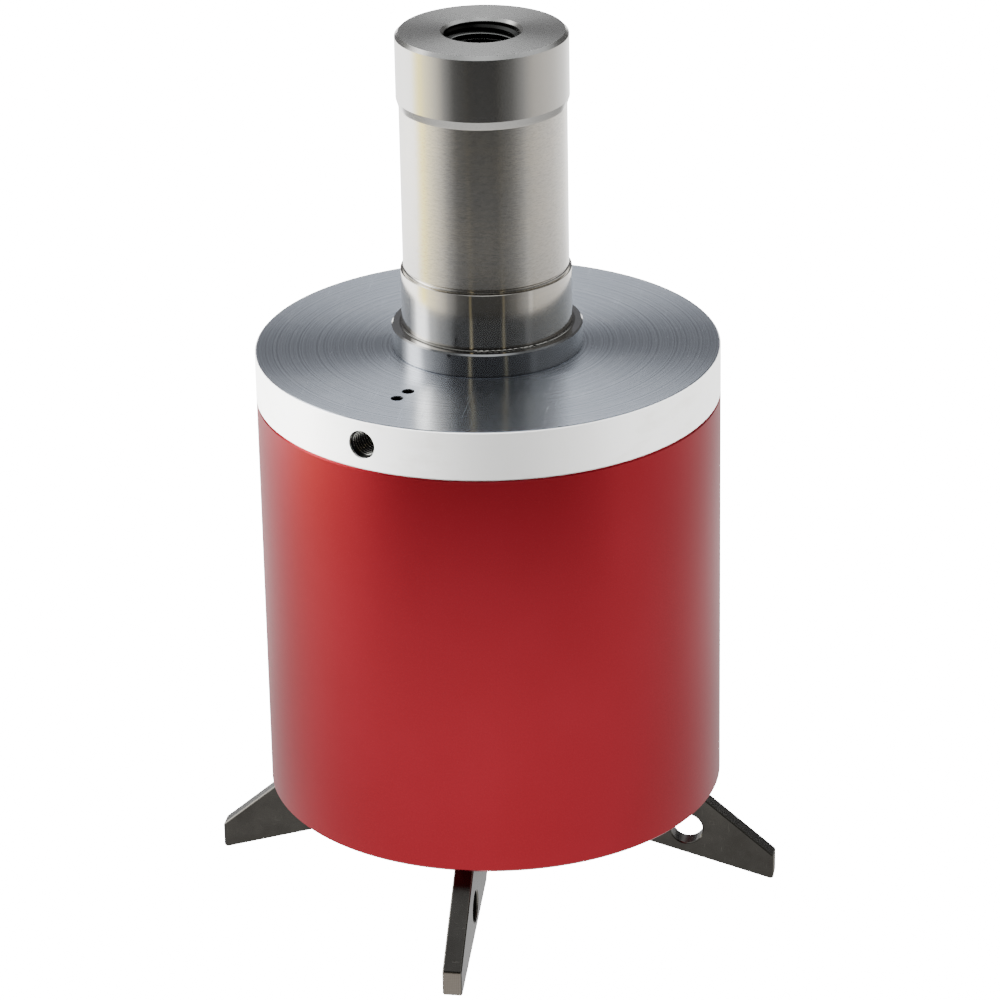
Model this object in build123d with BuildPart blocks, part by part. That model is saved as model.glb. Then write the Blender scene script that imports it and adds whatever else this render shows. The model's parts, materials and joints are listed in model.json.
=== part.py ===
from build123d import *
import math
import os

# Pneumatic four-jaw angular gripper with a cylindrical shank.
# Millimetres. Z runs up the shank and z = 0 is the collar's upper shoulder, where the tool holder seats.
# Modelled with the jaws open: the piston is at the bottom of its stroke.

# ---------------------------------------------------------------- driving dimensions
body_radius = 52.05
body_length = 94.8
cap_flange = 11.4
cap_spigot = 6.0
seam_chamfer = 0.35

collar_radius = 21.35
collar_height = 5.4
journal_radius = 19.05
journal_length = 13.0
relief_radius = 18.475
relief_top = 50.8
taper_height = 1.9
shank_height = 67.45
shank_groove = 1.05
head_chamfer = 0.8
journal_chamfer = 0.1
collar_chamfer = 0.35
collar_foot_chamfer = 0.2
shoulder_fillet = 0.35
air_bore = 5.5
top_port_radius = 8.3
top_port_depth = 16.0
top_port_chamfer = 0.7

cylinder_radius = 34.0
carrier_radius = 46.5
carrier_spigot = 5.0
carrier_recess = 1.0
running_gap = 0.05

jaw_thickness = 4.4
jaw_side_gap = 0.25
jaw_edge = 0.3
jaw_travel = 73.9
pivot_radius = 22.0
pivot_z = -103.4
pin_radius = 2.5
pin_half_length = 15.0
bush_radius = 4.0
hub_radius = 7.7
tip_radius_out = 65.2
tip_top_z = -129.9
tip_low_z = -136.15
heel = (29.3, -125.9)
heel_inner = (26.7, -122.9)
neck = (26.1, -112.9)
blade_fillets = {"neck": 1.0, "heel_inner": 4.0, "heel": 1.2, "tip": 0.8}
tool_hole = (44.9, -124.05)
tool_hole_radius = 3.65

tooth_module = 1.25
pinion_teeth = 16
pressure_angle = math.radians(20)
addendum = 1.0
tooth_clearance = 0.3
flank_backlash = 0.1
first_tooth = -1
last_tooth = 4

piston_top_z = -37.2
piston_height = 20.0
rod_stub_radius = 7.0
rod_overrun = 5.2
tie_circle = 41.2
tie_radius = 2.5
tie_hole_radius = 2.75
tie_head_radius = 4.25
dowel_radius = 2.0
dowel_hole_depth = 5.0
port_angle = 247.5
port_radius = 3.25
port_depth = 10.0
port_drop = 5.6
drilling_radius = 1.4
drilling_circles = (37.6, 33.1)

# ---------------------------------------------------------------- levels and sizes that follow
cap_top = -collar_height
cap_seat = cap_top - cap_flange
cap_low = cap_seat - cap_spigot
body_low = cap_seat - body_length
carrier_low = body_low + carrier_recess
carrier_top = -59.0
carrier_seat = carrier_top - carrier_spigot
slot_ceiling = -91.0
slot_width = jaw_thickness + 2 * jaw_side_gap
centre_bore = 13.6
pitch_radius = tooth_module * pinion_teeth / 2
tip_radius = pitch_radius + addendum
root_radius = pitch_radius - addendum - tooth_clearance
rack_pitch = math.pi * tooth_module
rod_radius = pivot_radius - pitch_radius + addendum
rack_root = pivot_radius - pitch_radius - addendum - tooth_clearance
rack_tooth = rack_pitch / 2 - flank_backlash
piston_stroke = pitch_radius * math.radians(jaw_travel)
piston_low = piston_top_z - piston_height
rod_low = pivot_z - piston_stroke - rod_overrun
port_z = cap_top - port_drop
bush_top = -65.0
bush_low = -84.0
bush_outer = 16.0
rim_start = pivot_radius + 3.5
jaw_names = {"front": 270, "right": 0, "rear": 90, "left": 180}

os.makedirs("parts", exist_ok=True)


# ---------------------------------------------------------------- helpers
def save(name, piece):
    """Label a finished piece and write it to its own file."""
    piece.part.label = name
    export_step(piece.part, f"parts/{name}.step")


def around(radius, degrees):
    """Point in the XY plane at a radius and an angle."""
    angle = math.radians(degrees)
    return (radius * math.cos(angle), radius * math.sin(angle))


def save_ring(name, inner, outer, low, high, edge=0.0):
    """Plain turned ring, with an optional chamfer on its end edges."""
    with BuildPart() as piece:
        with BuildSketch(Plane.XY.offset(low)):
            Circle(outer)
            Circle(inner, mode=Mode.SUBTRACT)
        extrude(amount=high - low)
        if edge:
            chamfer(piece.edges().filter_by(GeomType.CIRCLE), length=edge)
    save(name, piece)


def save_o_ring(name, centre, ring_radius, cord_radius):
    """Round-section seal ring about a vertical axis through centre."""
    with BuildPart() as piece:
        with BuildSketch(Plane(origin=centre, x_dir=(1, 0, 0), z_dir=(0, -1, 0))):
            with Locations((ring_radius, 0)):
                Circle(cord_radius)
        revolve(axis=Axis(centre, (0, 0, 1)))
    save(name, piece)


def cut_ring(inner, outer, low, high):
    """Cut an annular groove about Z from the piece being built."""
    with BuildSketch(Plane.XY.offset(low)) as groove:
        Circle(outer)
        Circle(inner, mode=Mode.SUBTRACT)
    extrude(groove.sketch, amount=high - low, mode=Mode.SUBTRACT)


def cut_holes(points, radius, low, high):
    """Cut upright round holes at the given points."""
    with BuildSketch(Plane.XY.offset(low)) as holes:
        with Locations(*points):
            Circle(radius)
    extrude(holes.sketch, amount=high - low, mode=Mode.SUBTRACT)


def radial_plane(degrees):
    """Plane through the Z axis: local x points outward at this angle, local y points up."""
    angle = math.radians(degrees)
    outward = (math.cos(angle), math.sin(angle), 0)
    return Plane(origin=(0, 0, 0), x_dir=outward, z_dir=(math.sin(angle), -math.cos(angle), 0))


# ---------------------------------------------------------------- shank
tail_radius = 15.0
tail_low = cap_low + 0.4

with BuildPart() as shank:
    with BuildSketch(Plane.XZ):
        with BuildLine():
            Polyline(
                (0, tail_low),
                (tail_radius, tail_low),
                (tail_radius, cap_top),
                (collar_radius - collar_foot_chamfer, cap_top),
                (collar_radius, cap_top + collar_foot_chamfer),
                (collar_radius, -collar_chamfer),
                (collar_radius - collar_chamfer, 0),
                (journal_radius + shoulder_fillet, 0),
            )
            JernArc((journal_radius + shoulder_fillet, 0), (-1, 0), shoulder_fillet, -90)
            Polyline(
                (journal_radius, shoulder_fillet),
                (journal_radius, journal_length - journal_chamfer),
                (journal_radius - journal_chamfer, journal_length),
                (relief_radius, journal_length),
            )
            # round-bottomed groove between the journal and the relieved length
            ThreePointArc(
                (relief_radius, journal_length),
                (relief_radius - shank_groove / 2, journal_length + shank_groove / 2),
                (relief_radius, journal_length + shank_groove),
            )
            Polyline(
                (relief_radius, journal_length + shank_groove),
                (relief_radius, relief_top),
                (journal_radius, relief_top + taper_height),
                (journal_radius, shank_height - head_chamfer),
                (journal_radius - head_chamfer, shank_height),
                (0, shank_height),
                (0, tail_low),
            )
        make_face()
    revolve(axis=Axis.Z)
    cut_holes([(0, 0)], air_bore, tail_low, shank_height)
    cut_holes([(0, 0)], top_port_radius, shank_height - top_port_depth, shank_height)
    mouth = shank.edges().filter_by(GeomType.CIRCLE).group_by(Axis.Z)[-1].sort_by(SortBy.RADIUS)[0]
    chamfer(mouth, length=top_port_chamfer)
save("shank", shank)

# ---------------------------------------------------------------- shank nut, its tab washer and seal
nut_recess_radius = 21.0
nut_recess_top = cap_top - 9.4
washer_radius = 19.5
washer_thickness = 1.0
washer_low = nut_recess_top - washer_thickness
nut_radius = 20.0
nut_low = cap_low + 0.5
spanner_slot_width = 4.0
spanner_slot_depth = 2.2

save_ring("shank_tab_washer", tail_radius, washer_radius, washer_low, nut_recess_top)

with BuildPart() as shank_nut:
    with BuildSketch(Plane.XY.offset(nut_low)):
        Circle(nut_radius)
        Circle(tail_radius, mode=Mode.SUBTRACT)
        with PolarLocations(nut_radius, 4):
            Rectangle(2 * spanner_slot_depth, spanner_slot_width, mode=Mode.SUBTRACT)
    extrude(amount=washer_low - nut_low)
save("shank_nut", shank_nut)

shank_seal_circle = 17.6
shank_seal_cord = 0.8
save_o_ring("shank_o_ring", (0, 0, cap_top - shank_seal_cord), shank_seal_circle, shank_seal_cord)

# ---------------------------------------------------------------- end cap
spigot_radius = cylinder_radius - running_gap
spigot_groove = cylinder_radius - 2.6
groove_half = 1.3
spigot_seal_circle = cylinder_radius - 1.3
spigot_seal_cord = 1.25
cap_groove_z = cap_seat - cap_spigot / 2
bumper_inner = 24.0
bumper_outer = 29.0
bumper_seat = 1.5
bumper_stand = 1.2
bumper_chamfer = 0.4
passage_seal_radius = 2.7
passage_seal_cord = 0.6
passage_seal_recess = 1.25
shank_seal_recess = 1.6
plug_length = 1.8
plug_top = cap_top - 2.1
tie_tapping = 8.6
tie_points = [around(tie_circle, 45 + 90 * corner) for corner in range(4)]
passage_point = around(drilling_circles[0], port_angle)
dowel_point = around(tie_circle, 112.5)

with BuildPart() as end_cap:
    with BuildSketch(Plane.XY.offset(cap_seat)):
        Circle(body_radius)
    extrude(amount=cap_flange)
    chamfer(end_cap.edges().group_by(Axis.Z)[0], length=seam_chamfer)
    chamfer(end_cap.edges().group_by(Axis.Z)[-1], length=seam_chamfer)
    with BuildSketch(Plane.XY.offset(cap_low)):
        Circle(spigot_radius)
    extrude(amount=cap_spigot)
    cut_holes([(0, 0)], tail_radius, cap_low, cap_top)
    cut_holes([(0, 0)], nut_recess_radius, cap_low, nut_recess_top)
    cut_ring(shank_seal_circle - 1.0, shank_seal_circle + 1.0, cap_top - shank_seal_recess, cap_top)
    cut_ring(spigot_groove, spigot_radius, cap_groove_z - groove_half, cap_groove_z + groove_half)
    cut_ring(bumper_inner, bumper_outer, cap_low, cap_low + bumper_seat)
    cut_holes(tie_points, tie_radius, cap_seat, cap_seat + tie_tapping)
    cut_holes([dowel_point], dowel_radius, cap_seat, cap_seat + dowel_hole_depth)
    # air drillings: down from the top face, and inward from the side port
    cut_holes([passage_point], drilling_radius, cap_seat, cap_top)
    cut_holes([around(drilling_circles[1], port_angle)], drilling_radius, port_z, cap_top)
    passage_recess_radius = passage_seal_radius + passage_seal_cord
    cut_holes([passage_point], passage_recess_radius, cap_seat, cap_seat + passage_seal_recess)
    port_out = Vector(*around(1, port_angle), 0)
    port_mouth = Plane(origin=port_out * body_radius + Vector(0, 0, port_z), z_dir=port_out)
    with BuildSketch(port_mouth.offset(1)):
        Circle(port_radius)
    extrude(amount=-port_depth - 1, mode=Mode.SUBTRACT)
    with BuildSketch(port_mouth):
        Circle(drilling_radius)
    extrude(amount=drilling_circles[1] - drilling_radius - body_radius, mode=Mode.SUBTRACT)
save("end_cap", end_cap)

with BuildPart() as passage_plugs:
    with BuildSketch(Plane.XY.offset(plug_top - plug_length)):
        with Locations(*[around(circle, port_angle) for circle in drilling_circles]):
            Circle(drilling_radius)
    extrude(amount=plug_length)
save("passage_plugs", passage_plugs)

save_o_ring("cap_o_ring", (0, 0, cap_groove_z), spigot_seal_circle, spigot_seal_cord)
passage_seal_centre = (*passage_point, cap_seat + passage_seal_cord)
save_o_ring("passage_o_ring", passage_seal_centre, passage_seal_radius, passage_seal_cord)
close_bumper_low = cap_low - bumper_stand
save_ring("close_bumper", bumper_inner, bumper_outer, close_bumper_low, cap_low + bumper_seat, bumper_chamfer)

# ---------------------------------------------------------------- body barrel
foot_chamfer = 0.6
cross_rise = 5.2
cross_radius = 1.2

with BuildPart() as body_barrel:
    with BuildSketch(Plane.XY.offset(body_low)):
        Circle(body_radius)
    extrude(amount=body_length)
    chamfer(body_barrel.edges().group_by(Axis.Z)[0], length=foot_chamfer)
    chamfer(body_barrel.edges().group_by(Axis.Z)[-1], length=seam_chamfer)
    cut_holes([(0, 0)], cylinder_radius, body_low, cap_seat)
    cut_holes([(0, 0)], carrier_radius, body_low, carrier_seat)
    cut_holes(tie_points, tie_hole_radius, carrier_seat, cap_seat)
    cut_holes([dowel_point], dowel_radius, cap_seat - dowel_hole_depth, cap_seat)
    cut_holes([dowel_point], dowel_radius, carrier_seat, carrier_seat + dowel_hole_depth)
    # air passage down the wall, then slanting into the foot of the cylinder
    passage_foot = carrier_top + cross_rise
    cut_holes([passage_point], drilling_radius, passage_foot, cap_seat)
    slant = Vector(*around(-1, port_angle), -1)
    with BuildSketch(Plane(origin=(*passage_point, passage_foot + 1), z_dir=slant)):
        Circle(cross_radius)
    extrude(amount=cross_rise + 2, mode=Mode.SUBTRACT)
save("body_barrel", body_barrel)

# ---------------------------------------------------------------- jaw carrier
seal_pocket_radius = 18.0
ring_groove_radius = 18.7
ring_low = carrier_top - 1.9
ring_high = carrier_top - 0.7
carrier_groove_z = carrier_top - carrier_spigot / 2
tie_head_depth = 5.0
tie_counterbore_radius = tie_head_radius + 0.2
set_screw_offset = 9.0
set_screw_radius = 2.0
carrier_reach = math.sqrt(carrier_radius**2 - pivot_radius**2)

with BuildPart() as jaw_carrier:
    with BuildSketch(Plane.XY.offset(carrier_low)):
        Circle(carrier_radius)
    extrude(amount=carrier_seat - carrier_low)
    chamfer(jaw_carrier.edges().group_by(Axis.Z)[0], length=foot_chamfer)
    with BuildSketch(Plane.XY.offset(carrier_seat)):
        Circle(spigot_radius)
    extrude(amount=carrier_spigot)
    # stepped bore for the rod: seal pocket, bush seat, and clearance below
    cut_holes([(0, 0)], centre_bore, carrier_low, carrier_top)
    cut_holes([(0, 0)], bush_outer, bush_low, carrier_top)
    cut_holes([(0, 0)], seal_pocket_radius, bush_top, carrier_top)
    cut_holes([(0, 0)], ring_groove_radius, ring_low, ring_high)
    cut_ring(spigot_groove, spigot_radius, carrier_groove_z - groove_half, carrier_groove_z + groove_half)
    cut_ring(bumper_inner, bumper_outer, carrier_top - bumper_seat, carrier_top)
    # two slots milled right across, one for each pair of facing jaws
    with BuildSketch(Plane.XY.offset(carrier_low)):
        Rectangle(2 * carrier_radius, slot_width)
        Rectangle(slot_width, 2 * carrier_radius)
    extrude(amount=slot_ceiling - carrier_low, mode=Mode.SUBTRACT)
    # tie screws, the dowel, and for each jaw a cross hole and a tapped hole below it
    cut_holes(tie_points, tie_hole_radius, carrier_low, carrier_seat)
    cut_holes(tie_points, tie_counterbore_radius, carrier_low, carrier_low + tie_head_depth)
    cut_holes([dowel_point], dowel_radius, carrier_seat - dowel_hole_depth, carrier_seat)
    for degrees in jaw_names.values():
        across = radial_plane(degrees).offset(-carrier_reach)
        with BuildSketch(across):
            with Locations((pivot_radius, pivot_z)):
                Circle(pin_radius)
        extrude(amount=carrier_reach + pin_half_length, mode=Mode.SUBTRACT)
        with BuildSketch(Plane.XY.offset(carrier_low).rotated((0, 0, degrees))):
            with Locations((pivot_radius, set_screw_offset)):
                Circle(set_screw_radius)
        extrude(amount=pivot_z - carrier_low, mode=Mode.SUBTRACT)
save("jaw_carrier", jaw_carrier)

save_o_ring("carrier_o_ring", (0, 0, carrier_groove_z), spigot_seal_circle, spigot_seal_cord)
open_bumper_top = piston_low - 0.3
open_bumper_low = carrier_top - bumper_seat
save_ring("open_bumper", bumper_inner, bumper_outer, open_bumper_low, open_bumper_top, bumper_chamfer)
bush_chamfer = 0.3
save_ring("rod_bush", rod_radius + running_gap, bush_outer, bush_low, bush_top, bush_chamfer)

# ---------------------------------------------------------------- rod seal and its retaining ring
heel_clearance = 0.6
lip_clearance = 0.04
lip_depth = 1.0
web_depth = 1.4
web_radius = rod_radius + 2.6
outer_lip_radius = rod_radius + 3.4

with BuildPart() as rod_seal:
    with BuildSketch(Plane.XZ):
        with BuildLine():
            # U-shaped section: flat heel on the bush, two lips with a web between them
            Polyline(
                (rod_radius + heel_clearance, bush_top),
                (seal_pocket_radius, bush_top),
                (seal_pocket_radius, ring_low),
                (outer_lip_radius, ring_low),
                (web_radius, ring_low - web_depth),
                (rod_radius + 0.8, ring_low - 0.2),
                (rod_radius + lip_clearance, ring_low - lip_depth),
                close=True,
            )
        make_face()
    revolve(axis=Axis.Z)
save("rod_seal", rod_seal)

ring_inner_radius = rod_radius + 2.2
ring_gap = 5.0

with BuildPart() as seal_retaining_ring:
    with BuildSketch(Plane.XY.offset(ring_low)):
        Circle(ring_groove_radius)
        Circle(ring_inner_radius, mode=Mode.SUBTRACT)
        with Locations((0, ring_groove_radius)):
            Rectangle(ring_gap, ring_groove_radius / 2, mode=Mode.SUBTRACT)
    extrude(amount=ring_high - ring_low)
save("seal_retaining_ring", seal_retaining_ring)

# ---------------------------------------------------------------- fasteners that hold the housing
tie_thread_end = cap_seat + 8.0
tie_head_low = carrier_low + 0.2
tie_head_seat = carrier_low + tie_head_depth
tie_socket_radius = 2.3
tie_socket_depth = 2.6
dowel_half = 4.8
pin_chamfer = 0.4
set_screw_low = carrier_low + 0.3
set_socket_radius = 1.15
set_socket_depth = 2.0

with BuildPart() as tie_screws:
    with BuildSketch(Plane.XY.offset(tie_head_low)):
        with Locations(*tie_points):
            Circle(tie_head_radius)
    extrude(amount=tie_head_seat - tie_head_low)
    with BuildSketch(Plane.XY.offset(tie_head_seat)):
        with Locations(*tie_points):
            Circle(tie_radius)
    extrude(amount=tie_thread_end - tie_head_seat)
    with BuildSketch(Plane.XY.offset(tie_head_low)):
        with Locations(*tie_points):
            RegularPolygon(tie_socket_radius, 6)
    extrude(amount=tie_socket_depth, mode=Mode.SUBTRACT)
save("tie_screws", tie_screws)

with BuildPart() as locating_dowels:
    for seat in (cap_seat, carrier_seat):
        with BuildSketch(Plane.XY.offset(seat - dowel_half)):
            with Locations(dowel_point):
                Circle(dowel_radius)
        extrude(amount=2 * dowel_half)
save("locating_dowels", locating_dowels)

with BuildPart() as pivot_pins:
    for degrees in jaw_names.values():
        with BuildSketch(radial_plane(degrees).offset(-pin_half_length)):
            with Locations((pivot_radius, pivot_z)):
                Circle(pin_radius)
        extrude(amount=2 * pin_half_length)
    chamfer(pivot_pins.edges().filter_by(GeomType.CIRCLE), length=pin_chamfer)
save("pivot_pins", pivot_pins)

with BuildPart() as pin_set_screws:
    for degrees in jaw_names.values():
        with BuildSketch(Plane.XY.offset(set_screw_low).rotated((0, 0, degrees))):
            with Locations((pivot_radius, set_screw_offset)):
                Circle(set_screw_radius)
        extrude(amount=pivot_z - pin_radius - set_screw_low)
        with BuildSketch(Plane.XY.offset(set_screw_low).rotated((0, 0, degrees))):
            with Locations((pivot_radius, set_screw_offset)):
                RegularPolygon(set_socket_radius, 6)
        extrude(amount=set_socket_depth, mode=Mode.SUBTRACT)
save("pin_set_screws", pin_set_screws)

# ---------------------------------------------------------------- piston
nut_pocket_radius = 13.0
nut_pocket_floor = piston_top_z - 9.0
piston_radius = cylinder_radius - running_gap
piston_chamfer = 1.5
seal_groove_floor = piston_radius - 3.0
seal_groove_z = piston_top_z - 5.0
seal_groove_half = 1.6
seal_half = 1.5
seal_chamfer = 0.5
wear_groove_floor = piston_radius - 1.5
wear_groove_z = piston_low + 6.5
wear_groove_half = 2.5
wear_half = 2.4
rod_seal_circle = 9.0
rod_seal_cord = 0.6
rod_seal_recess = 1.3
piston_nut_radius = 12.1
piston_nut_height = 7.0
rod_thread_end = nut_pocket_floor + 8.0

with BuildPart() as piston:
    with BuildSketch(Plane.XY.offset(piston_low)):
        Circle(piston_radius)
        Circle(rod_stub_radius, mode=Mode.SUBTRACT)
    extrude(amount=piston_height)
    chamfer(piston.edges().filter_by(GeomType.CIRCLE).sort_by(SortBy.RADIUS)[-2:], length=piston_chamfer)
    cut_holes([(0, 0)], nut_pocket_radius, nut_pocket_floor, piston_top_z)
    for floor, level, half in (
        (seal_groove_floor, seal_groove_z, seal_groove_half),
        (wear_groove_floor, wear_groove_z, wear_groove_half),
    ):
        cut_ring(floor, piston_radius, level - half, level + half)
    cut_ring(rod_seal_circle - 0.8, rod_seal_circle + 0.8, piston_low, piston_low + rod_seal_recess)
save("piston", piston)

save_ring(
    "piston_seal",
    seal_groove_floor,
    cylinder_radius - 0.03,
    seal_groove_z - seal_half,
    seal_groove_z + seal_half,
    seal_chamfer,
)
save_ring(
    "piston_wear_ring",
    wear_groove_floor,
    cylinder_radius - 0.02,
    wear_groove_z - wear_half,
    wear_groove_z + wear_half,
)
save_o_ring("rod_o_ring", (0, 0, piston_low + rod_seal_recess / 2), rod_seal_circle, rod_seal_cord)

with BuildPart() as piston_nut:
    with BuildSketch(Plane.XY.offset(nut_pocket_floor)):
        RegularPolygon(piston_nut_radius, 6)
        Circle(rod_stub_radius, mode=Mode.SUBTRACT)
    extrude(amount=piston_nut_height)
save("piston_nut", piston_nut)

# ---------------------------------------------------------------- rod with its turned rack
tip_half = rack_tooth / 2 - addendum * math.tan(pressure_angle)
root_half = rack_tooth / 2 + (addendum + tooth_clearance) * math.tan(pressure_angle)
centre_drill_radius = 2.5
centre_drill_depth = 6.0

with BuildPart() as rack_rod:
    with BuildSketch(Plane.XY.offset(rod_low)):
        Circle(rod_radius)
    extrude(amount=piston_low - rod_low)
    with BuildSketch(Plane.XY.offset(piston_low)):
        Circle(rod_stub_radius)
    extrude(amount=rod_thread_end - piston_low)
    # six grooves turned all round leave the rack teeth; one is level with the pivots at rest
    with BuildSketch(Plane.XZ):
        for groove in range(-last_tooth, 2):
            level = pivot_z + groove * rack_pitch
            with BuildLine():
                Polyline(
                    (rack_root, level - rack_pitch / 2 + root_half),
                    (rack_root, level + rack_pitch / 2 - root_half),
                    (rod_radius, level + rack_pitch / 2 - tip_half),
                    (rod_radius + 1, level + rack_pitch / 2 - tip_half),
                    (rod_radius + 1, level - rack_pitch / 2 + tip_half),
                    (rod_radius, level - rack_pitch / 2 + tip_half),
                    close=True,
                )
            make_face()
    revolve(axis=Axis.Z, mode=Mode.SUBTRACT)
    cut_holes([(0, 0)], centre_drill_radius, rod_low, rod_low + centre_drill_depth)
save("rack_rod", rack_rod)


# ---------------------------------------------------------------- jaws and their bushes
def tooth_half_angle(radius):
    """Half the angle that a pinion tooth spans at a radius, from the involute of the base circle."""
    base = pitch_radius * math.cos(pressure_angle)
    rolled = math.sqrt(max((radius / base) ** 2 - 1, 0))
    involute = rolled - math.atan(rolled)
    involute_at_pitch = math.tan(pressure_angle) - pressure_angle
    return rack_tooth / 2 / pitch_radius + involute_at_pitch - involute


def tooth_point(centre, radius, side):
    """Point on one flank of the tooth whose middle points at the angle centre."""
    angle = centre + side * tooth_half_angle(radius)
    return (pivot_radius + radius * math.cos(angle), pivot_z + radius * math.sin(angle))


def add_tooth(centre):
    """Add one involute pinion tooth to the sketch being built."""
    tooth_foot = root_radius - 0.5
    base = pitch_radius * math.cos(pressure_angle)
    flank = [base + (tip_radius - base) * step / 3 for step in range(4)]
    lower = [tooth_point(centre, radius, -1) for radius in flank]
    upper = [tooth_point(centre, radius, 1) for radius in reversed(flank)]
    crest = (pivot_radius + tip_radius * math.cos(centre), pivot_z + tip_radius * math.sin(centre))
    with BuildLine() as outline:
        Line(tooth_point(centre, tooth_foot, -1), lower[0])
        Spline(*lower)
        ThreePointArc(lower[-1], crest, upper[0])
        Spline(*upper)
        Line(upper[-1], tooth_point(centre, tooth_foot, 1))
        Line(tooth_point(centre, tooth_foot, 1), tooth_point(centre, tooth_foot, -1))
    make_face(outline.edges())


def jaw_rim(jaw, degrees):
    """Edges round both side faces of the blade's outer part, clear of the hub."""
    outward = Vector(*around(1, degrees), 0)
    sides = jaw.faces().sort_by(SortBy.AREA)[-2:]
    return sides.edges().filter_by(lambda edge: min(outward.dot(edge @ 0), outward.dot(edge @ 1)) > rim_start)


def build_jaw(degrees):
    """Flat jaw blade standing in the radial plane at this angle."""
    rise = math.atan2(-tip_top_z + pivot_z, tip_radius_out - pivot_radius)
    reach = math.hypot(tip_top_z - pivot_z, tip_radius_out - pivot_radius)
    # the back edge runs from the tip, tangent to the hub's circle
    shoulder = math.pi / 2 - rise - math.asin(hub_radius / reach)
    hub_top = (pivot_radius + hub_radius * math.cos(shoulder), pivot_z + hub_radius * math.sin(shoulder))
    tip_low = (tip_radius_out, tip_low_z)
    tip_top = (tip_radius_out, tip_top_z)
    corners = [blade_fillets[name] for name in ("neck", "heel_inner", "heel", "tip", "tip")]
    with BuildPart() as jaw:
        with BuildSketch(radial_plane(degrees)):
            with BuildLine():
                FilletPolyline(
                    *[(pivot_radius, pivot_z), neck, heel_inner, heel, tip_low, tip_top, hub_top],
                    radius=[0, *corners, 0],
                    close=True,
                )
            make_face()
            with Locations((pivot_radius, pivot_z)):
                Circle(root_radius)
            for tooth in range(first_tooth, last_tooth + 1):
                add_tooth(math.pi + tooth * 2 * math.pi / pinion_teeth)
            with Locations((pivot_radius, pivot_z)):
                Circle(bush_radius, mode=Mode.SUBTRACT)
            with Locations(tool_hole):
                Circle(tool_hole_radius, mode=Mode.SUBTRACT)
        extrude(amount=jaw_thickness / 2, both=True)
        chamfer(jaw_rim(jaw, degrees), length=jaw_edge)
    return jaw


for place, degrees in jaw_names.items():
    save(f"jaw_{place}", build_jaw(degrees))
    with BuildPart() as jaw_bush:
        with BuildSketch(radial_plane(degrees)):
            with Locations((pivot_radius, pivot_z)):
                Circle(bush_radius)
                Circle(pin_radius + 0.03, mode=Mode.SUBTRACT)
        extrude(amount=jaw_thickness / 2, both=True)
    save(f"jaw_bush_{place}", jaw_bush)
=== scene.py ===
"""Studio scene of the pneumatic gripper: materials, thread details, floor, lights and camera."""
import json
import math

import bmesh
import bpy
from mathutils import Matrix, Vector


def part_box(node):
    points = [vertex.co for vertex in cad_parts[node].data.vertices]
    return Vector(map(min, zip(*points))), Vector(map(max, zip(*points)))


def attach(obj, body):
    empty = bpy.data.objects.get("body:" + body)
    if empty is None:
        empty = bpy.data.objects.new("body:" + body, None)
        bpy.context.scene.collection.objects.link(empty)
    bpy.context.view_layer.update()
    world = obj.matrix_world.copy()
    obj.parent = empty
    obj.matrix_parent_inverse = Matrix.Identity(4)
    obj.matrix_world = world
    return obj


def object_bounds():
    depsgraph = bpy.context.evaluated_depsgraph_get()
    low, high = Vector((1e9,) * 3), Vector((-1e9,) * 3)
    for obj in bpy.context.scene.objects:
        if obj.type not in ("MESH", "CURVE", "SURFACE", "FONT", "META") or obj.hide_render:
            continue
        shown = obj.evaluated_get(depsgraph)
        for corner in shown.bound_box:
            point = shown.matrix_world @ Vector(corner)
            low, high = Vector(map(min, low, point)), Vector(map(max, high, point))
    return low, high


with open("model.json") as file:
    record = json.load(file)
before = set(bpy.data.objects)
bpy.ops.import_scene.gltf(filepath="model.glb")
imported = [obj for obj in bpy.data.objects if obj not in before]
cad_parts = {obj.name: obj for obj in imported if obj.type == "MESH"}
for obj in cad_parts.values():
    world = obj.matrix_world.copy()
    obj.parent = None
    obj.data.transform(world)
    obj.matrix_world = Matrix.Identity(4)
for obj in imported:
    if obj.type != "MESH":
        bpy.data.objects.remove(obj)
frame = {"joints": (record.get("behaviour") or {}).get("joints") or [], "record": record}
cad_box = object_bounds()

MM = 0.001
CAMERA_AZIMUTH = math.radians(9.5)
JAW_PLACES = ("front", "right", "rear", "left")

# Places on the object that the materials follow, in metres.
LAND_TOP = 13.0 * MM
HEAD_LOW = 50.8 * MM
LAND_RADIUS = 19.05 * MM
JAW_TIP = 65.2 * MM
JAW_HALF = 2.2 * MM

TABLE_RADIUS = 6.0


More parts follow.
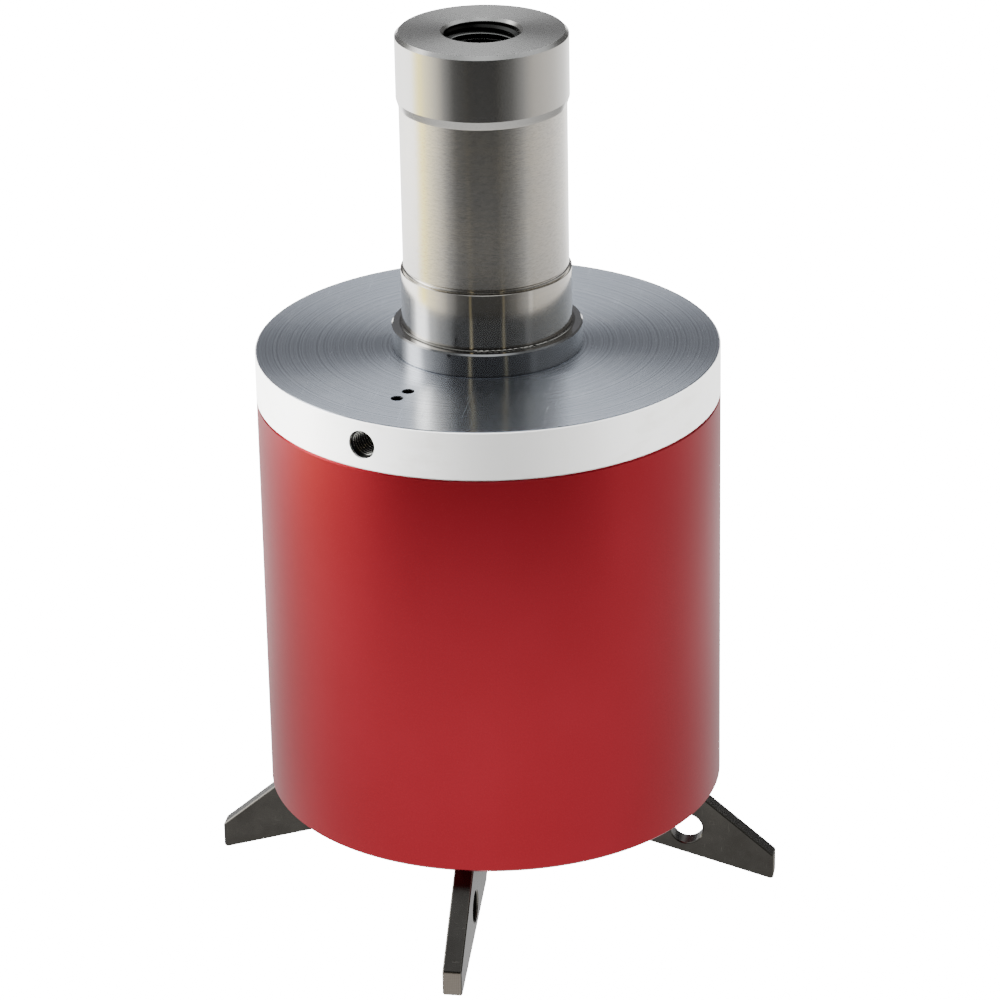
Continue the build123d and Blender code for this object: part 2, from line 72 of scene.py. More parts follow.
# ---------------------------------------------------------------- node shorthand
class Nodes:
    """A node tree with short calls for the nodes used here."""

    def __init__(self, tree):
        self.tree = tree
        tree.nodes.clear()

    def add(self, kind, **settings):
        node = self.tree.nodes.new(kind)
        for key, value in settings.items():
            setattr(node, key, value)
        return node

    def put(self, socket, value):
        """Set a socket to a number or colour, or link it when the value is a socket."""
        if isinstance(value, bpy.types.NodeSocket):
            self.tree.links.new(value, socket)
        else:
            socket.default_value = value

    def math(self, operation, first, second=0.0):
        node = self.add("ShaderNodeMath", operation=operation)
        self.put(node.inputs[0], first)
        self.put(node.inputs[1], second)
        return node.outputs[0]

    def invert(self, value):
        return self.math("SUBTRACT", 1.0, value)

    def object_point(self):
        """Position in the CAD frame, in metres."""
        return self.add("ShaderNodeTexCoord").outputs["Object"]

    def xyz(self, vector):
        """The vector's x, y and z."""
        node = self.add("ShaderNodeSeparateXYZ")
        self.put(node.inputs[0], vector)
        return node.outputs[0], node.outputs[1], node.outputs[2]

    def radius(self, x, y):
        """Distance from the Z axis."""
        squares = self.math("ADD", self.math("MULTIPLY", x, x), self.math("MULTIPLY", y, y))
        return self.math("SQRT", squares)

    def between(self, value, low, high):
        """Smooth 0 to 1 as the value goes from low to high, which may be the smaller one."""
        node = self.add("ShaderNodeMapRange", interpolation_type="SMOOTHSTEP", clamp=True)
        self.put(node.inputs["Value"], value)
        node.inputs["From Min"].default_value = low
        node.inputs["From Max"].default_value = high
        return node.outputs["Result"]

    def span(self, value, low, high):
        """Map 0..1 to low..high."""
        node = self.add("ShaderNodeMapRange", clamp=False)
        self.put(node.inputs["Value"], value)
        node.inputs["To Min"].default_value = low
        node.inputs["To Max"].default_value = high
        return node.outputs["Result"]

    def noise(self, vector, scale, detail, roughness, dimensions="3D"):
        """Noise from 0 to 1; in "1D" the vector is a single number."""
        node = self.add("ShaderNodeTexNoise", noise_dimensions=dimensions)
        self.put(node.inputs["W" if dimensions == "1D" else "Vector"], vector)
        node.inputs["Scale"].default_value = scale
        node.inputs["Detail"].default_value = detail
        node.inputs["Roughness"].default_value = roughness
        return node.outputs["Fac"]

    def stretched(self, vector, scale, turn=(0, 0, 0)):
        """The vector turned and scaled, for marks that run one way."""
        node = self.add("ShaderNodeMapping")
        self.put(node.inputs["Vector"], vector)
        node.inputs["Rotation"].default_value = turn
        node.inputs["Scale"].default_value = scale
        return node.outputs[0]

    def ramp(self, factor, stops, interpolation="LINEAR"):
        """Colour ramp; stops are (position, grey value or colour)."""
        node = self.add("ShaderNodeValToRGB")
        node.color_ramp.interpolation = interpolation
        elements = node.color_ramp.elements
        while len(elements) < len(stops):
            elements.new(0.5)
        for element, (position, shade) in zip(elements, stops):
            element.position = position
            colour = (shade, shade, shade) if isinstance(shade, (int, float)) else shade
            element.color = (*colour, 1.0)
        self.put(node.inputs[0], factor)
        return node.outputs[0]

    def mix(self, factor, first, second, blend="MIX"):
        """Blend of two colours, each a tuple or a socket."""
        node = self.add("ShaderNodeMix", data_type="RGBA", blend_type=blend)
        self.put(node.inputs[0], factor)
        for socket, value in ((node.inputs[6], first), (node.inputs[7], second)):
            self.put(socket, (*value, 1.0) if isinstance(value, tuple) else value)
        return node.outputs[2]

    def bump(self, height, distance, strength):
        node = self.add("ShaderNodeBump")
        node.inputs["Strength"].default_value = strength
        node.inputs["Distance"].default_value = distance
        self.put(node.inputs["Height"], height)
        return node.outputs[0]


class Metal(Nodes):
    """A material with one Principled shader, which is metal unless told otherwise."""

    def __init__(self, name, metallic=1.0):
        self.material = bpy.data.materials.new(name)
        self.material.use_nodes = True
        super().__init__(self.material.node_tree)
        self.shader = self.add("ShaderNodeBsdfPrincipled")
        self.shader.inputs["Metallic"].default_value = metallic
        output = self.add("ShaderNodeOutputMaterial")
        self.put(output.inputs["Surface"], self.shader.outputs[0])

    def set(self, name, value):
        if isinstance(value, tuple):
            value = (*value, 1.0)
        self.put(self.shader.inputs[name], value)

    def turned(self, amount):
        """Spread reflections across the lathe marks, which run round the Z axis."""
        tangent = self.add("ShaderNodeTangent", direction_type="RADIAL", axis="Z")
        self.put(self.shader.inputs["Tangent"], tangent.outputs[0])
        self.set("Anisotropic", amount)
        self.set("Anisotropic Rotation", 0.25)


def port(name):
    """A port's mount from the record: centre, outward axis and wall radius, in metres."""
    mount = next(m for m in frame["record"]["mounts"] if m["name"] == name)
    return Vector(mount["pos_m"]), Vector(mount["axis"]), mount["dims"]["r_mm"] * MM


# ---------------------------------------------------------------- metals of the housing
def shank_steel():
    """Turned and ground steel: satin relief, smoother head, mirror-like land and collar, with painted
    shade: a dark collar ledge and a near-black air-port bore.
    """
    m = Metal("shank_steel")
    point = m.object_point()
    x, y, z = m.xyz(point)
    reach = m.radius(x, y)
    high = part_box("shank")[1].z
    centre, axis, bore_wall = port("top_air_port")

    # Zones of the shank.
    above_land = m.between(z, LAND_TOP - 0.1 * MM, LAND_TOP + 0.6 * MM)
    head = m.between(z, HEAD_LOW, HEAD_LOW + 0.6 * MM)
    flat_top = m.between(z, high - 0.08 * MM, high - 0.03 * MM)
    collar = m.between(z, 0.5 * MM, 0.0)
    # Painted shade: the collar's top ledge beside the land is coloured dark, standing in for the dark
    # surroundings it reflects.
    ledge_shade = m.math("MULTIPLY", m.between(z, -0.1 * MM, 0.0), m.between(z, 0.55 * MM, 0.4 * MM))
    ledge_shade = m.math("MULTIPLY", ledge_shade, m.between(reach, LAND_RADIUS + 0.75 * MM, LAND_RADIUS + 0.35 * MM))
    # Painted shade: inside the air port's bore the colour goes near black.
    bore = m.between(reach, bore_wall + 0.15 * MM, bore_wall)

    # Lathe marks, stains and grain.
    across = m.math("ADD", reach, z)
    rings = m.noise(across, 9000, 3, 0.7, "1D")
    bands = m.noise(across, 1100, 2, 0.6, "1D")
    stains = m.noise(point, 75, 4, 0.65)
    grain = m.noise(m.stretched(point, (1, 1, 4)), 2300, 3, 0.7)
    streaks = m.between(m.noise(m.stretched(point, (1, 1, 5)), 800, 4, 0.75), 0.42, 0.70)
    streaks = m.math("MULTIPLY", streaks, m.span(above_land, 0.15, 0.65))
    streaks = m.math("MULTIPLY", streaks, m.span(head, 1.0, 0.35))

    tint = m.mix(m.between(stains, 0.35, 0.75), (0.60, 0.58, 0.54), (0.66, 0.62, 0.54))
    tint = m.mix(m.math("MULTIPLY", m.between(bands, 0.4, 0.7), 0.3), tint, (0.54, 0.53, 0.51))
    tint = m.mix(head, tint, (0.50, 0.49, 0.465))
    tint = m.mix(collar, tint, (0.44, 0.44, 0.44))
    # Painted shade on the collar ledge.
    tint = m.mix(ledge_shade, tint, (0.17, 0.165, 0.15))
    tint = m.mix(streaks, tint, (0.42, 0.41, 0.385))
    # Painted shade: the bore near black.
    m.set("Base Color", m.mix(bore, tint, (0.02, 0.019, 0.017)))

    rough = m.math("SUBTRACT", m.span(above_land, 0.10, 0.222), m.math("MULTIPLY", head, 0.02))
    rough = m.math("ADD", rough, m.math("MULTIPLY", flat_top, 0.065))
    mottle = m.math("MULTIPLY", m.span(grain, -0.06, 0.06), m.span(above_land, 0.2, 1.0))
    m.set("Roughness", m.math("ADD", rough, mottle))
    m.set("Normal", m.bump(m.math("ADD", rings, m.math("MULTIPLY", grain, 1.2)), 2e-6, 0.3))
    m.turned(0.7)
    return m.material


def cap_metal():
    """End cap: blue-grey turned top face, near-white satin rim, inner passages painted near black as
    shade.
    """
    m = Metal("cap_aluminium")
    point = m.object_point()
    x, y, z = m.xyz(point)
    reach = m.radius(x, y)
    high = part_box("end_cap")[1]

    # Zones of the cap.
    on_top = m.between(z, high.z - 0.25 * MM, high.z - 0.1 * MM)
    off_top = m.invert(on_top)
    # Inner passages and holes, which are painted near black as shade below.
    shaded_inside = m.between(reach, high.x - 0.4 * MM, high.x - 0.9 * MM)

    # Lathe marks, scuffs and smudges.
    rings = m.noise(reach, 5200, 3, 0.75, "1D")
    bands = m.noise(reach, 1900, 2, 0.6, "1D")
    clouds = m.between(m.noise(m.stretched(point, (1, 1, 0.2)), 90, 5, 0.65), 0.5, 0.8)
    scuffs = m.between(m.noise(m.stretched(point, (26, 1, 1), (0, 0, 0.7)), 120, 3, 0.6), 0.6, 0.75)
    smudges = m.between(m.noise(m.stretched(point, (1, 1, 2)), 55, 4, 0.7), 0.52, 0.72)
    satin = m.noise(m.stretched(point, (1, 1, 6)), 1500, 3, 0.6)

    face = m.mix(m.between(bands, 0.3, 0.75), (0.56, 0.595, 0.655), (0.42, 0.45, 0.50))
    face = m.mix(m.math("MULTIPLY", clouds, 0.6), face, (0.62, 0.65, 0.70))
    rim = m.mix(clouds, (0.95, 0.95, 0.93), (0.90, 0.89, 0.85))
    rim = m.mix(m.math("MULTIPLY", smudges, 0.5), rim, (0.78, 0.76, 0.71))
    # Painted shade: inner passages and hole walls off the top face are near black.
    rim = m.mix(m.math("MULTIPLY", shaded_inside, off_top), rim, (0.02, 0.02, 0.02))
    m.set("Base Color", m.mix(on_top, rim, face))

    face_rough = m.math("ADD", m.span(rings, 0.17, 0.27), m.math("MULTIPLY", scuffs, 0.05))
    face_rough = m.math("MULTIPLY", face_rough, on_top)
    rim_rough = m.math("MULTIPLY", m.span(satin, 0.46, 0.56), off_top)
    m.set("Roughness", m.math("ADD", face_rough, rim_rough))
    rim_metal = m.math("MULTIPLY", off_top, m.span(shaded_inside, 0.45, 1.0))
    m.set("Metallic", m.math("ADD", on_top, rim_metal))
    height = m.math("ADD", m.math("MULTIPLY", rings, on_top), m.math("MULTIPLY", satin, 0.6))
    m.set("Normal", m.bump(height, 2.5e-6, 0.4))
    m.turned(0.92)
    return m.material


def red_anodise():
    """Satin red anodised aluminium with a fine blasted grain and a clear oxide skin; the inner surfaces
    are painted a darker red as shade.
    """
    m = Metal("red_anodise")
    point = m.object_point()
    x, y, z = m.xyz(point)
    grain = m.noise(point, 3800, 2, 0.6)
    cloud = m.noise(point, 38, 3, 0.5)
    lathe = m.noise(z, 2600, 2, 0.6, "1D")
    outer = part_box("body_barrel")[1].x
    shaded_inside = m.between(m.radius(x, y), outer - 3.5 * MM, outer - 4.5 * MM)
    red = m.mix(m.between(cloud, 0.3, 0.7), (0.41, 0.006, 0.018), (0.43, 0.008, 0.022))
    red = m.mix(m.math("MULTIPLY", m.between(grain, 0.5, 0.75), 0.4), red, (0.46, 0.020, 0.034))
    # Painted shade: the barrel's inner surfaces are a darker red.
    m.set("Base Color", m.mix(shaded_inside, red, (0.34, 0.010, 0.014)))
    m.set("Roughness", m.math("ADD", m.span(grain, 0.31, 0.40), m.span(lathe, -0.02, 0.02)))
    m.set("Normal", m.bump(m.math("ADD", grain, m.math("MULTIPLY", lathe, 0.3)), 3e-6, 0.4))
    m.set("Coat Weight", 0.45)
    m.set("Coat Roughness", 0.25)
    m.set("Coat IOR", 1.5)
    return m.material


def machined_aluminium(name, colour, scale):
    """Milled or turned aluminium with cutter marks."""
    m = Metal(name)
    point = m.object_point()
    x, y, z = m.xyz(point)
    marks = m.noise(m.math("ADD", m.radius(x, y), z), scale, 2, 0.7, "1D")
    cloud = m.noise(point, 70, 3, 0.5)
    dark = tuple(0.86 * c for c in colour)
    m.set("Base Color", m.mix(m.between(cloud, 0.3, 0.7), colour, dark))
    m.set("Roughness", m.span(marks, 0.28, 0.42))
    m.set("Normal", m.bump(marks, 4e-6, 0.5))
    return m.material


# ---------------------------------------------------------------- jaws and small parts
def jaw_steel(place):
    """Ground tool steel, toned dark, with edges painted lighter as highlights and a fine grid ground on
    the tip.
    """
    m = Metal(f"jaw_steel_{place}")
    point = m.object_point()
    x, y, z = m.xyz(point)
    lengthwise, sideways = (y, x) if place in ("front", "rear") else (x, y)
    out = m.math("ABSOLUTE", lengthwise)
    side = m.math("ABSOLUTE", sideways)

    # Grinding marks and scratches.
    grind = m.noise(m.stretched(point, (1, 1, 9)), 900, 3, 0.6)
    cloud = m.noise(point, 130, 4, 0.6)
    upright = m.noise(m.stretched(point, (9, 9, 1), (0.5, 0.3, 0.2)), 420, 2, 0.5)
    level = m.noise(m.stretched(point, (1, 1, 10), (0.9, 0.4, 0.0)), 330, 2, 0.5)
    scratches = m.math("MAXIMUM", m.between(upright, 0.66, 0.72), m.between(level, 0.68, 0.73))
    steel = m.mix(m.between(cloud, 0.3, 0.7), (0.086, 0.081, 0.073), (0.066, 0.061, 0.055))
    steel = m.mix(m.math("MULTIPLY", scratches, 0.25), steel, (0.20, 0.19, 0.17))

    # Painted highlight: a lighter band along the edges beside the flat faces, where they catch light.
    edge_highlight = m.between(side, JAW_HALF - 0.38 * MM, JAW_HALF - 0.3 * MM)
    edge_highlight = m.math("MULTIPLY", edge_highlight, m.between(side, JAW_HALF - 0.11 * MM, JAW_HALF - 0.16 * MM))
    steel = m.mix(m.math("MULTIPLY", edge_highlight, 0.6), steel, (0.26, 0.25, 0.22))

    # Grid on the tip's face.
    tip_face = m.between(out, JAW_TIP - 0.15 * MM, JAW_TIP - 0.02 * MM)
    pitch = 0.42 * MM
    rows = m.math("PINGPONG", m.math("DIVIDE", z, pitch), 0.5)
    columns = m.math("PINGPONG", m.math("DIVIDE", sideways, pitch), 0.5)
    grid = m.math("MAXIMUM", m.between(rows, 0.36, 0.5), m.between(columns, 0.36, 0.5))
    ground = m.mix(m.math("MULTIPLY", grid, 0.55), (0.27, 0.24, 0.205), (0.12, 0.105, 0.09))
    m.set("Base Color", m.mix(tip_face, steel, ground))

    rough = m.math("ADD", m.span(grind, 0.22, 0.34), m.math("MULTIPLY", scratches, 0.08))
    m.set("Roughness", m.math("ADD", rough, m.math("MULTIPLY", tip_face, 0.18)))
    lines = m.math("MULTIPLY", grid, tip_face)
    height = m.math("SUBTRACT", m.math("MULTIPLY", grind, 0.3), m.math("ADD", lines, scratches))
    m.set("Normal", m.bump(height, 6e-6, 0.6))
    return m.material


def hard_steel(name, colour, roughness):
    """Small steel parts: slight colour clouds and fine random grain."""
    m = Metal(name)
    point = m.object_point()
    cloud = m.noise(point, 160, 3, 0.55)
    grain = m.noise(point, 3000, 2, 0.6)
    dark = tuple(0.75 * c for c in colour)
    m.set("Base Color", m.mix(m.between(cloud, 0.35, 0.7), colour, dark))
    m.set("Roughness", m.span(grain, roughness - 0.04, roughness + 0.08))
    m.set("Normal", m.bump(grain, 2e-6, 0.4))
    return m.material


def rubber(name, colour, roughness):
    """Seal and bumper materials, with a soft moulded grain."""
    m = Metal(name, metallic=0.0)
    point = m.object_point()
    grain = m.noise(point, 1800, 3, 0.6)
    light = tuple(min(1.0, 1.5 * c + 0.01) for c in colour)
    m.set("Base Color", m.mix(m.between(grain, 0.4, 0.8), colour, light))
    m.set("Roughness", m.span(grain, roughness - 0.08, roughness + 0.1))
    m.set("Normal", m.bump(grain, 1e-5, 0.4))
    return m.material


def dress(material, *nodes):
    """Give CAD nodes their material."""
    for node in nodes:
        mesh = bpy.data.objects[node].data
        mesh.materials.clear()
        mesh.materials.append(material)


def dress_all():
    dress(shank_steel(), "shank")
    dress(cap_metal(), "end_cap")
    dress(red_anodise(), "body_barrel")
    dress(machined_aluminium("carrier_aluminium", (0.62, 0.63, 0.65), 2200), "jaw_carrier")
    dress(machined_aluminium("piston_aluminium", (0.68, 0.69, 0.70), 3000), "piston")
    rod_steel = hard_steel("rod_steel", (0.60, 0.60, 0.59), 0.14)
    dress(rod_steel, "rack_rod", "locating_dowels", "pivot_pins")
    fastener_steel = hard_steel("fastener_steel", (0.10, 0.10, 0.105), 0.34)
    dress(fastener_steel, "tie_screws", "pin_set_screws", "seal_retaining_ring")
    zinc_steel = hard_steel("zinc_steel", (0.58, 0.59, 0.58), 0.26)
    dress(zinc_steel, "shank_nut", "shank_tab_washer", "piston_nut", "passage_plugs")
    bronze = hard_steel("bronze", (0.55, 0.36, 0.17), 0.3)
    dress(bronze, "rod_bush", *[f"jaw_bush_{place}" for place in JAW_PLACES])
    nitrile = rubber("nitrile", (0.02, 0.02, 0.02), 0.55)
    dress(nitrile, "shank_o_ring", "cap_o_ring", "passage_o_ring", "carrier_o_ring", "rod_o_ring")
    dress(nitrile, "rod_seal", "piston_seal")
    dress(rubber("polyurethane", (0.50, 0.33, 0.07), 0.4), "close_bumper", "open_bumper")
    dress(rubber("ptfe", (0.30, 0.24, 0.17), 0.45), "piston_wear_ring")
    for place in JAW_PLACES:
        dress(jaw_steel(place), f"jaw_{place}")


# ---------------------------------------------------------------- threads in the two air ports
def thread(name, mouth, inward, wall, depth, pitch, length, material):
    """Helical ridge standing in from a bore's wall, fading out at both ends."""
    steps_per_turn = 96
    fade_steps = 0.6 * steps_per_turn
    half_root = 0.46 * pitch
    half_crest = 0.07 * pitch
    count = int(length / pitch * steps_per_turn)
    u = inward.orthogonal().normalized()
    v = inward.cross(u)
    mesh = bmesh.new()
    previous = None
    for step in range(count + 1):
        angle = 2 * math.pi * step / steps_per_turn
        along = half_root + (length - 2 * half_root) * step / count
        crest = wall - depth * min(1.0, step / fade_steps, (count - step) / fade_steps)
        outline = ((wall, -half_root), (crest, -half_crest), (crest, half_crest), (wall, half_root))
        spoke = u * math.cos(angle) + v * math.sin(angle)
        centre = mouth + inward * along
        ring = [mesh.verts.new(centre + inward * shift + spoke * reach) for reach, shift in outline]
        if previous:
            for corner in range(4):
                after = (corner + 1) % 4
                mesh.faces.new((previous[corner], previous[after], ring[after], ring[corner]))
        else:
            mesh.faces.new(ring)
        previous = ring
    mesh.faces.new(reversed(previous))
    bmesh.ops.recalc_face_normals(mesh, faces=mesh.faces)
    data = bpy.data.meshes.new(name)
    mesh.to_mesh(data)
    mesh.free()
    piece = bpy.data.objects.new(name, data)
    bpy.context.collection.objects.link(piece)
    piece.data.materials.append(material)
    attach(piece, "housing")


def thread_metal(name, centre, axis, wall, depth, crest):
    """Thread flanks painted near black as shade, crests painted lighter as highlights, by distance from
    the port's axis.
    """
    m = Metal(name)
    point = m.object_point()
    offset = m.add("ShaderNodeVectorMath", operation="SUBTRACT")
    m.put(offset.inputs[0], point)
    m.put(offset.inputs[1], tuple(centre))
    across = m.add("ShaderNodeVectorMath", operation="CROSS_PRODUCT")
    m.put(across.inputs[0], offset.outputs[0])
    m.put(across.inputs[1], tuple(axis))
    distance = m.add("ShaderNodeVectorMath", operation="LENGTH")
    m.put(distance.inputs[0], across.outputs[0])
    shaded_flank = m.between(distance.outputs["Value"], wall - depth, wall - 0.8 * depth)
    # Painted shade and highlight: flanks near black, crests in the lighter crest colour.
    m.set("Base Color", m.mix(shaded_flank, (crest, crest, 0.94 * crest), (0.03, 0.03, 0.028)))
    m.set("Roughness", m.span(m.noise(point, 2500, 3, 0.6), 0.20, 0.32))
    return m.material


def thread_top_port():
    """Pipe thread down the shank's air port."""
    centre, axis, wall = port("top_air_port")
    depth = 0.85 * MM
    pitch = 1.41 * MM
    length = 13 * MM
    mouth = Vector((0, 0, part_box("shank")[1].z - 0.9 * MM))
    # The top port's crests are painted dim as well, as shade down the bore.
    metal = thread_metal("top_thread_steel", centre, axis, wall, depth, crest=0.20)
    thread("top_port_thread", mouth, -axis, wall, depth, pitch, length, metal)


def thread_side_port():
    """Fine thread in the cap's air port."""
    centre, axis, wall = port("side_air_port")
    depth = 0.5 * MM
    pitch = 0.907 * MM
    length = 8.4 * MM
    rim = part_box("end_cap")[1].x
    mouth = Vector((axis.x * rim, axis.y * rim, centre.z)) - axis * 0.25 * MM
    metal = thread_metal("side_thread_aluminium", centre, axis, wall, depth, crest=0.80)
    thread("side_port_thread", mouth, -axis, wall, depth, pitch, length, metal)


# ---------------------------------------------------------------- studio
def disc(name, radius, height):
    """Flat round sheet of 64 sides."""
    mesh = bmesh.new()
    bmesh.ops.create_circle(mesh, cap_ends=True, segments=64, radius=radius)
    data = bpy.data.meshes.new(name)
    mesh.to_mesh(data)
    mesh.free()
    piece = bpy.data.objects.new(name, data)
    piece.location.z = height
    bpy.context.collection.objects.link(piece)
    return piece


def closed_reach():
    """Lowest height that a jaw's tip can swing to, in metres."""
    hinge = next(joint for joint in frame["joints"] if joint["name"] == "jaw_front_hinge")
    pivot = Vector(hinge["pos_m"])
    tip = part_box("jaw_front")[0]
    return pivot.z - math.hypot(tip.y - pivot.y, tip.z - pivot.z)


def make_floor(height):
    """Plain white table, which the camera sees and metal doesn't."""
    floor = disc("floor", TABLE_RADIUS, height)
    material = bpy.data.materials.new("floor")
    material.use_nodes = True
    n = Nodes(material.node_tree)
    shader = n.add("ShaderNodeBsdfPrincipled")
    shader.inputs["Base Color"].default_value = (0.85, 0.85, 0.85, 1)
    shader.inputs["Roughness"].default_value = 0.9
    shader.inputs["Emission Color"].default_value = (1, 1, 1, 1)
    shader.inputs["Emission Strength"].default_value = 16.0
    n.put(n.add("ShaderNodeOutputMaterial").inputs["Surface"], shader.outputs[0])
    floor.data.materials.append(material)
    floor.visible_glossy = False
    floor.visible_diffuse = False


def bearing(n, x, y):
    """0 to 1 once round Z: 0.5 towards the camera, 0.25 on its left, 0.75 on its right."""
    turn = n.math("ARCTAN2", x, n.math("MULTIPLY", y, -1.0))
    return n.math("ADD", n.math("DIVIDE", turn, 2 * math.pi), 0.5)


def at(degrees):
    """Place on a bearing ramp, by degrees to the right of the way to the camera."""
    return 0.5 + degrees / 360


def make_table_glow(height):
    """What polished metal sees below the horizon: a light table, open to the dark towards the camera."""
    glow = disc("table_glow", TABLE_RADIUS, height - 0.5 * MM)
    glow.rotation_euler.z = CAMERA_AZIMUTH
    material = bpy.data.materials.new("table_glow")
    material.use_nodes = True
    n = Nodes(material.node_tree)
    x, y, z = n.xyz(n.object_point())
    side = bearing(n, x, y)
    away = n.radius(x, y)

    # Far part, which the shank reflects: bright at the sides and behind, dark in front, with thin strips.
    bands = n.ramp(side, [
        (at(-180), 0.50), (at(-160), 0.90), (at(-125), 1.20), (at(-108), 1.20),
        (at(-100), (1.12, 1.02, 0.64)), (at(-92), (1.02, 0.89, 0.32)), (at(-82), (0.68, 0.62, 0.42)),
        (at(-66), (0.37, 0.35, 0.305)), (at(-52), 0.125), (at(-38), 0.034), (at(-20), 0.013),
        (at(18), 0.013), (at(38), 0.05), (at(54), 0.125), (at(70), (0.245, 0.235, 0.22)),
        (at(105), (0.34, 0.33, 0.32)), (at(135), 0.50), (at(160), 0.80), (at(180), 0.50)])
    strips = n.ramp(side, [
        (at(-23.2), 0.0), (at(-22.6), (0.060, 0.050, 0.026)), (at(-20.4), (0.060, 0.050, 0.026)),
        (at(-19.8), 0.0), (at(19.8), 0.0), (at(20.4), (0.040, 0.034, 0.02)),
        (at(22.6), (0.040, 0.034, 0.02)), (at(23.2), 0.0), (at(56), 0.0), (at(58), 0.10),
        (at(62), 0.10), (at(64), 0.0)])
    strips = n.mix(n.between(away, 0.40, 0.45), strips, (0.0, 0.0, 0.0))
    distant = n.mix(1.0, bands, strips, "ADD")

    # Near part, which the red body reflects.
    ring = n.ramp(side, [
        (at(-180), 0.20), (at(-150), 0.22), (at(-123), 0.185), (at(-108), 0.185), (at(-86), 0.23),
        (at(-40), 0.27), (at(0), 0.285), (at(50), 0.235), (at(90), 0.18), (at(123), 0.18),
        (at(150), 0.22), (at(180), 0.20)])
    gain = n.ramp(away, [
        (0.13, 0.95), (0.17, 1.12), (0.215, 1.15), (0.26, 1.00), (0.30, 0.80), (0.33, 0.66)])
    near = n.mix(1.0, ring, gain, "MULTIPLY")

    # From near to far: a long fade in front, a short one beside it that starts later on the right.
    delay = n.ramp(side, [
        (at(-180), 0.010), (at(-130), 0.0), (at(-90), 0.0), (at(0), 0.010), (at(75), 0.022),
        (at(140), 0.022), (at(180), 0.010)])
    beside = n.between(n.math("SUBTRACT", away, delay), 0.33, 0.39)
    front = n.ramp(side, [(at(-75), 0.0), (at(-50), 1.0), (at(50), 1.0), (at(75), 0.0)])
    far = n.mix(front, beside, n.between(away, 0.22, 0.39))

    light = n.add("ShaderNodeEmission")
    n.put(light.inputs["Color"], n.mix(far, near, distant))
    light.inputs["Strength"].default_value = 4.0
    n.put(n.add("ShaderNodeOutputMaterial").inputs["Surface"], light.outputs[0])
    glow.data.materials.append(material)
    glow.visible_camera = False
    glow.visible_diffuse = False


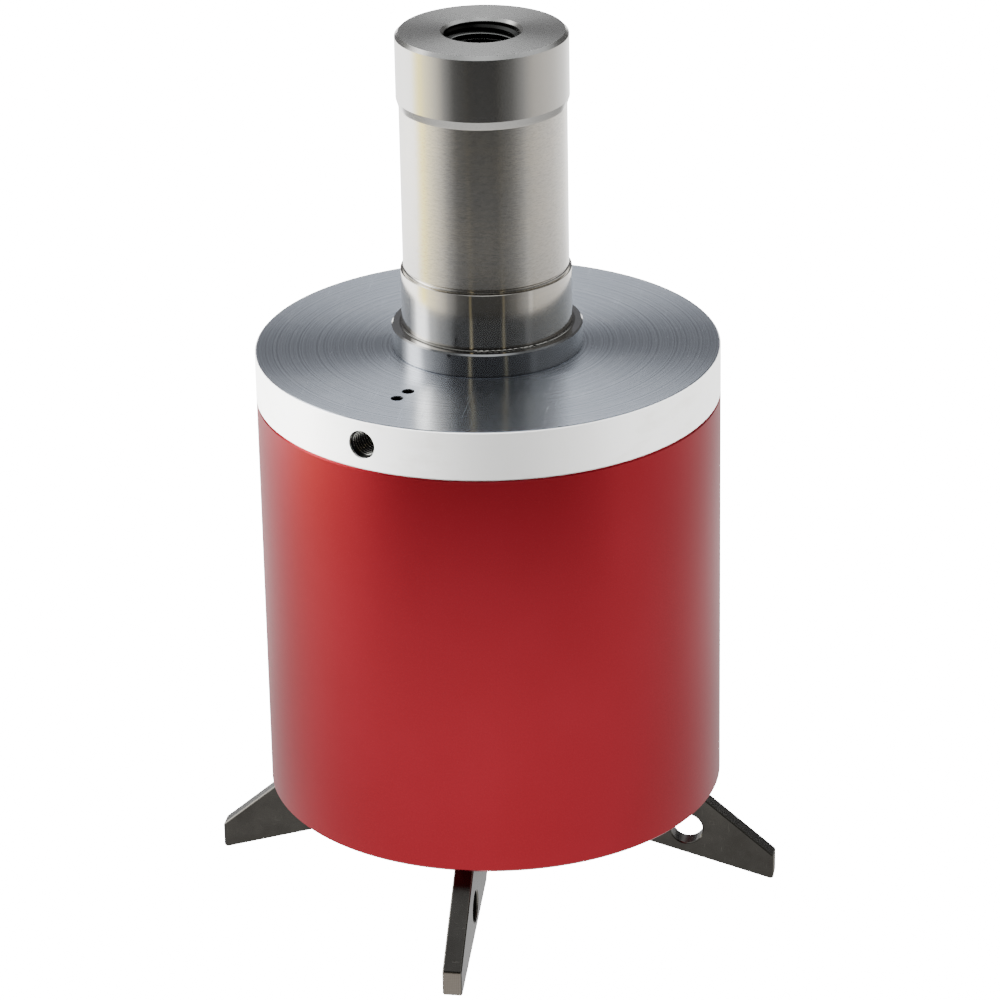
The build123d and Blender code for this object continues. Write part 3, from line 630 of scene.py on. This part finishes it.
def make_world():
    """What metal sees above the horizon: a dim room with one lit side under a bright ceiling."""
    world = bpy.data.worlds.new("studio")
    world.use_nodes = True
    bpy.context.scene.world = world
    n = Nodes(world.node_tree)
    direction = n.add("ShaderNodeTexCoord").outputs["Generated"]
    x, y, z = n.xyz(n.stretched(direction, (1, 1, 1), (0, 0, -CAMERA_AZIMUTH)))
    side = bearing(n, x, y)

    # Walls, which fade out towards the ceiling.
    room = n.ramp(side, [
        (at(-180), (0.10, 0.10, 0.105)), (at(-150), (0.11, 0.11, 0.115)), (at(-128), 0.15),
        (at(-116), 1.15), (at(-108), 4.0), (at(-94), 4.0), (at(-84), 1.0), (at(-68), 0.45),
        (at(-52), 0.20), (at(-44), 0.05), (at(-23.2), 0.03), (at(-22.6), (0.45, 0.39, 0.25)),
        (at(-20.6), (0.45, 0.39, 0.25)), (at(-20), 0.025), (at(20), 0.025),
        (at(20.6), (0.28, 0.25, 0.17)), (at(22.6), (0.28, 0.25, 0.17)), (at(23.2), 0.03),
        (at(50), 0.06), (at(56), 0.15), (at(60), 0.15), (at(64), 0.11), (at(90), 0.11),
        (at(127), 0.06), (at(180), (0.10, 0.10, 0.105))])
    fade = n.ramp(z, [(0.0, 1.0), (0.5, 1.0), (0.75, 0.0)])
    walls = n.mix(1.0, room, fade, "MULTIPLY")

    # Ceiling, which starts higher up towards the camera than behind the object.
    rear = n.ramp(side, [
        (at(-180), 1.0), (at(-160), 1.0), (at(-55), 0.0), (at(55), 0.0), (at(160), 1.0),
        (at(180), 1.0)], "EASE")
    level = n.math("SUBTRACT", z, n.span(rear, 0.46, 0.0))
    ceiling = n.ramp(level, [
        (0.0, 0.0), (0.40, 0.01), (0.48, (0.50, 0.52, 0.54)), (0.56, (1.05, 1.08, 1.13)),
        (0.70, (1.30, 1.34, 1.40)), (1.0, (1.36, 1.40, 1.46))])

    seen = n.add("ShaderNodeLightPath").outputs["Is Camera Ray"]
    background = n.add("ShaderNodeBackground")
    shade = n.mix(seen, n.mix(1.0, walls, ceiling, "ADD"), (8.0, 8.0, 8.0))
    n.put(background.inputs["Color"], shade)
    background.inputs["Strength"].default_value = 2.0
    n.put(n.add("ShaderNodeOutputWorld").inputs["Surface"], background.outputs[0])


def soft_light(name, place, size, power):
    """Large soft lamp aimed at the object; metal doesn't show it."""
    data = bpy.data.lights.new(name, "AREA")
    data.size = size
    data.energy = power
    lamp = bpy.data.objects.new(name, data)
    lamp.location = place
    lamp.rotation_mode = "QUATERNION"
    lamp.rotation_quaternion = (-Vector(place)).to_track_quat("-Z", "Y")
    lamp.visible_glossy = False
    bpy.context.collection.objects.link(lamp)


# ---------------------------------------------------------------- camera
def make_camera():
    """Camera at the photograph's viewing angle, aimed from the cap's top face."""
    elevation = math.radians(21.72)
    roll = math.radians(-1.139)
    pan = math.radians(-0.1164)
    tilt = math.radians(-2.006)
    distance = 1.0094
    target = Vector((0, 0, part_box("end_cap")[1].z))
    level = Vector((math.sin(CAMERA_AZIMUTH), -math.cos(CAMERA_AZIMUTH), 0))
    back = level * math.cos(elevation) + Vector((0, 0, math.sin(elevation)))
    right = Vector((math.cos(CAMERA_AZIMUTH), math.sin(CAMERA_AZIMUTH), 0))
    aim = Matrix((right, back.cross(right), back)).transposed()
    turn = Matrix.Rotation(pan, 3, "Y") @ Matrix.Rotation(tilt, 3, "X") @ Matrix.Rotation(roll, 3, "Z")
    camera = bpy.data.objects.new("camera", bpy.data.cameras.new("camera"))
    camera.matrix_world = Matrix.Translation(target + back * distance) @ (aim @ turn).to_4x4()
    camera.data.lens = 162.56
    camera.data.sensor_width = 36.0
    bpy.context.collection.objects.link(camera)
    bpy.context.scene.camera = camera


make_camera()
dress_all()
thread_top_port()
thread_side_port()
make_floor(closed_reach() - 1.0 * MM)
make_table_glow(cad_box[0].z)
make_world()
soft_light("key", place=(-1.2, -0.25, 0.35), size=0.6, power=190)
soft_light("fill", place=(1.15, -0.15, 0.45), size=0.8, power=75)
